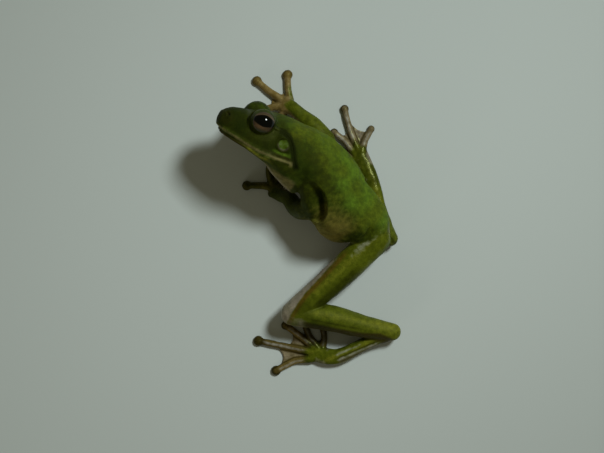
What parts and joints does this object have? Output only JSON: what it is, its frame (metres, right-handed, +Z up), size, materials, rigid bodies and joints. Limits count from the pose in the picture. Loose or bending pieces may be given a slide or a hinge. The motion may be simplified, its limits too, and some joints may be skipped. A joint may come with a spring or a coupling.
{
  "type": "white-lipped tree frog",
  "caption": "Still, life-size tree frog laid flat in a climbing pose: body rolled to show one flank, one hind leg folded close, the other trailing, toe discs spread.",
  "frame": {"origin": "centre of the bounding box, on the floor that the frog lies on", "axes": "+Z up from the floor, +Y along the pose from the hind feet to the front hands, +X to the frog's right side at the heels; the snout points to -X and +Y"},
  "size_m": [0.0805, 0.1369, 0.0428],
  "materials": {
    "skin_green": "moist satin",
    "skin_pale": "moist satin",
    "eye_gloss": "wet gloss"
  },
  "bodies": {
    "root": {"head": "skin_green", "lower_jaw": "skin_green", "torso": "skin_green", "pelvis": "skin_green", "thigh_left": "skin_green", "shank_left": "skin_green", "tarsus_left": "skin_green", "foot_left": "skin_pale", "thigh_right": "skin_green", "shank_right": "skin_green", "tarsus_right": "skin_green", "foot_right": "skin_pale", "upper_arm_right": "skin_green", "forearm_right": "skin_green", "hand_right": "skin_pale", "upper_arm_left": "skin_green", "forearm_left": "skin_green", "hand_left": "skin_pale", "eye_left": "eye_gloss", "eye_right": "eye_gloss"}
  },
  "joints": []
}
